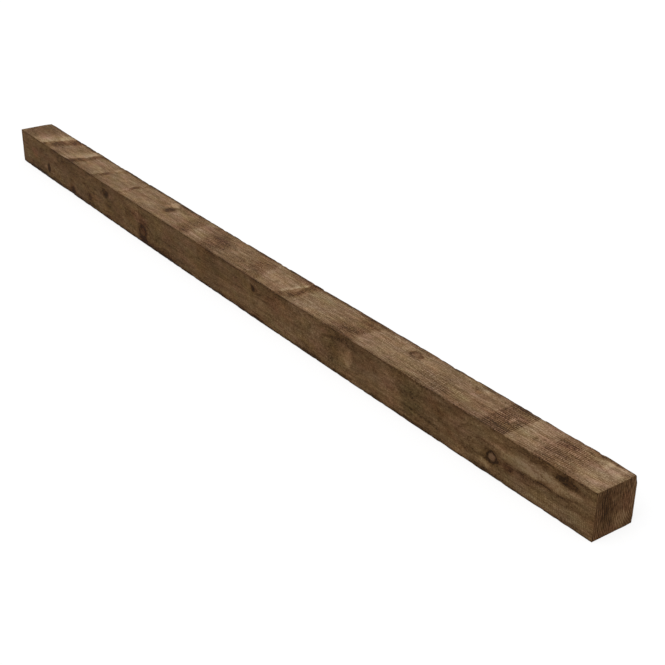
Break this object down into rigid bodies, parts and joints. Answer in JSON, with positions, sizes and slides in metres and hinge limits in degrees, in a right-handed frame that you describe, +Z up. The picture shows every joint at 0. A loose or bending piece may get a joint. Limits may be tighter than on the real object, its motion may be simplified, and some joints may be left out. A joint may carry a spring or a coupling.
{
  "type": "timber fence post",
  "caption": "Square sawn softwood fence post, brown treated, knotty and slightly bowed, with worn arrises and plain cut ends, lying on one face.",
  "frame": {"origin": "bottom centre of the bounding box, on the flat underside that the post lies on", "axes": "+X along the timber from the foot end to the head end, +Z up through the upper face, -Y through the front face, which the bow swells"},
  "size_m": [2.4, 0.109, 0.1],
  "materials": {
    "timber": "rough sawn, brown pressure-treated softwood, matt, with knots and darker cut ends"
  },
  "bodies": {
    "root": {"post": "timber"}
  },
  "joints": []
}
